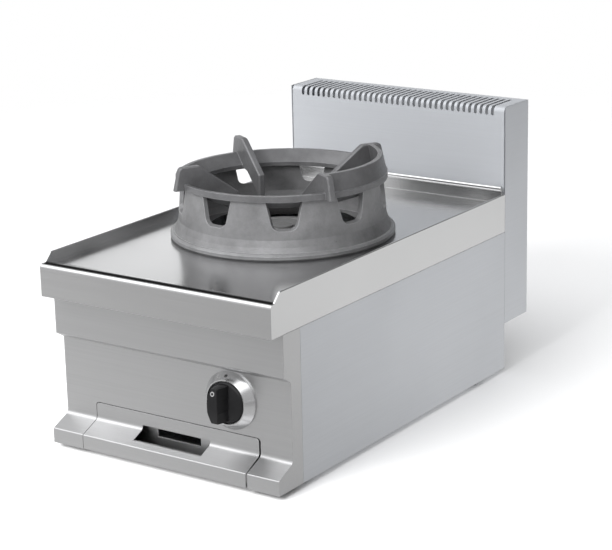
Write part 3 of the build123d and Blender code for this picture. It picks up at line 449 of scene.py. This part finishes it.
def place_camera():
    """Camera at the photograph's place, with its focal length and slight roll."""
    back = Vector((math.sin(AZIMUTH) * math.cos(ELEVATION), -math.cos(AZIMUTH) * math.cos(ELEVATION),
                   math.sin(ELEVATION)))
    right = (-back).cross(Vector((0, 0, 1))).normalized()
    up = back.cross(right)
    turned_right = math.cos(ROLL) * right + math.sin(ROLL) * up
    turned_up = math.cos(ROLL) * up - math.sin(ROLL) * right
    camera_data = bpy.data.cameras.new("camera")
    camera_data.sensor_fit = "HORIZONTAL"
    camera_data.sensor_width = SENSOR_WIDTH
    camera_data.lens = FOCAL_LENGTH / PICTURE_WIDTH * SENSOR_WIDTH
    camera = bpy.data.objects.new("camera", camera_data)
    matrix = Matrix((turned_right, turned_up, back)).transposed().to_4x4()
    matrix.translation = AIM + back * CAMERA_DISTANCE
    camera.matrix_world = matrix
    scene.collection.objects.link(camera)
    scene.camera = camera


place_camera()

# ---------------------------------------------------------------- stage and light
FLOOR_HALF = 4.0            # half the floor's width
FLOOR_EDGE = (1.3, 2.6)     # metres from the object over which the floor fades out
FLOOR_SEEN = 0.97           # its colour for the camera
FLOOR_NEAR, FLOOR_FAR = 0.12, 0.84      # its glow in reflections: before and behind the object
FLOOR_RUN, FLOOR_FROM, FLOOR_TO = (-0.45, 0.89, 0.0), -0.95, 0.20       # where that glow changes, and which way
FLOOR_GLOW = 0.8            # share of that glow; the rest keeps the object's shadow


def build_floor():
    """Pale floor that fades into the backdrop; reflections see a glow on it as of a studio's walls."""
    mesh = bpy.data.meshes.new("floor")
    shape = bmesh.new()
    bmesh.ops.create_grid(shape, x_segments=8, y_segments=8, size=FLOOR_HALF)
    shape.to_mesh(mesh)
    shape.free()
    floor = bpy.data.objects.new("floor", mesh)
    scene.collection.objects.link(floor)
    look = Look("floor", Roughness=0.9, Specular_IOR_Level=0.0)
    paths = look.add("ShaderNodeLightPath")
    look.shader.inputs["Base Color"].default_value = (*grey(FLOOR_SEEN), 1.0)
    run = look.along(look.coords, FLOOR_RUN)
    glow = look.add("ShaderNodeEmission")
    look.link(look.smooth(run, FLOOR_FROM, FLOOR_TO, FLOOR_NEAR, FLOOR_FAR), glow.inputs["Strength"])
    mirrored = look.add("ShaderNodeMixShader")
    look.link(look.maths("MULTIPLY", paths.outputs["Is Glossy Ray"], FLOOR_GLOW), mirrored.inputs[0])
    look.link(look.shader.outputs[0], mirrored.inputs[1])
    look.link(glow.outputs[0], mirrored.inputs[2])
    length = look.add("ShaderNodeVectorMath", operation="LENGTH")
    look.link(look.coords, length.inputs[0])
    clear = look.add("ShaderNodeBsdfTransparent")
    fade = look.add("ShaderNodeMixShader")
    look.link(look.smooth(length.outputs["Value"], *FLOOR_EDGE, 0.0, 1.0), fade.inputs[0])
    look.link(mirrored.outputs[0], fade.inputs[1])
    look.link(clear.outputs[0], fade.inputs[2])
    look.link(fade.outputs[0], look.tree.nodes["Material Output"].inputs["Surface"])
    mesh.materials.append(look.material)


ROOM = 0.52                 # brightness of the room at eye level
ROOM_UP = 0.10              # change towards the ceiling
ROOM_TINT = (0.985, 0.99, 1.0, 1.0)
BELOW = 0.70                # brightness below the horizon, past the floor's edge
HORIZON, HORIZON_BLEND = 0.02, 0.04     # brightness at the horizon, and the band that leads to BELOW
PANELS = (                  # soft panels: direction, half width as a cosine range, added brightness
    ((-0.55, -0.38, 0.74), (0.85, 0.96), 1.5),
    ((0.30, -0.66, 0.68), (0.86, 0.95), 1.7),
    ((-0.40, -0.75, 0.50), (0.75, 0.95), 0.35),
    ((-0.62, 0.75, 0.16), (0.78, 0.95), 0.85),
    ((-0.55, 0.62, 0.56), (0.945, 0.985), -1.25),
    ((0.60, 0.72, 0.33), (0.78, 0.95), -0.50),
)


def build_world():
    """Room with soft panels for light and reflections; plain white for the camera."""
    world = bpy.data.worlds.new("studio")
    scene.world = world
    world.use_nodes = True
    world.node_tree.nodes.clear()
    tree = Nodes(world.node_tree)
    ray = tree.add("ShaderNodeTexCoord").outputs["Generated"]
    level = tree.maths("ADD", tree.maths("MULTIPLY", tree.along(ray, (0, 0, 1)), ROOM_UP), ROOM)
    for direction, (wide, narrow), gain in PANELS:
        level = tree.maths("ADD", level, tree.smooth(tree.along(ray, direction), wide, narrow, 0.0, gain))
    below = tree.smooth(tree.along(ray, (0, 0, -1)), 0.0, HORIZON_BLEND, HORIZON, BELOW)
    soft = tree.add("ShaderNodeBackground")
    tree.link(tree.maths("MAXIMUM", level, below), soft.inputs["Strength"])
    soft.inputs["Color"].default_value = ROOM_TINT
    white = tree.add("ShaderNodeBackground")
    white.inputs["Color"].default_value = (1.0, 1.0, 1.0, 1.0)
    white.inputs["Strength"].default_value = 1.0
    paths = tree.add("ShaderNodeLightPath")
    choose = tree.add("ShaderNodeMixShader")
    tree.link(paths.outputs["Is Camera Ray"], choose.inputs[0])
    tree.link(soft.outputs[0], choose.inputs[1])
    tree.link(white.outputs[0], choose.inputs[2])
    tree.link(choose.outputs[0], tree.add("ShaderNodeOutputWorld").inputs["Surface"])


KEY_PLACE, KEY_TARGET = Vector((-0.2, -2.6, 1.8)), Vector((0.0, 0.0, 0.25))
KEY_SIZE, KEY_POWER = 1.3, 85.0         # metres and watts


def add_key_light():
    """Soft box before the object; it isn't mirrored, as the room's panels already are."""
    data = bpy.data.lights.new("key", "AREA")
    data.shape = "SQUARE"
    data.size = KEY_SIZE
    data.energy = KEY_POWER
    light = bpy.data.objects.new("key", data)
    light.location = KEY_PLACE
    light.rotation_euler = (KEY_TARGET - KEY_PLACE).to_track_quat("-Z", "Y").to_euler()
    light.visible_glossy = False
    scene.collection.objects.link(light)


build_floor()
build_world()
add_key_light()
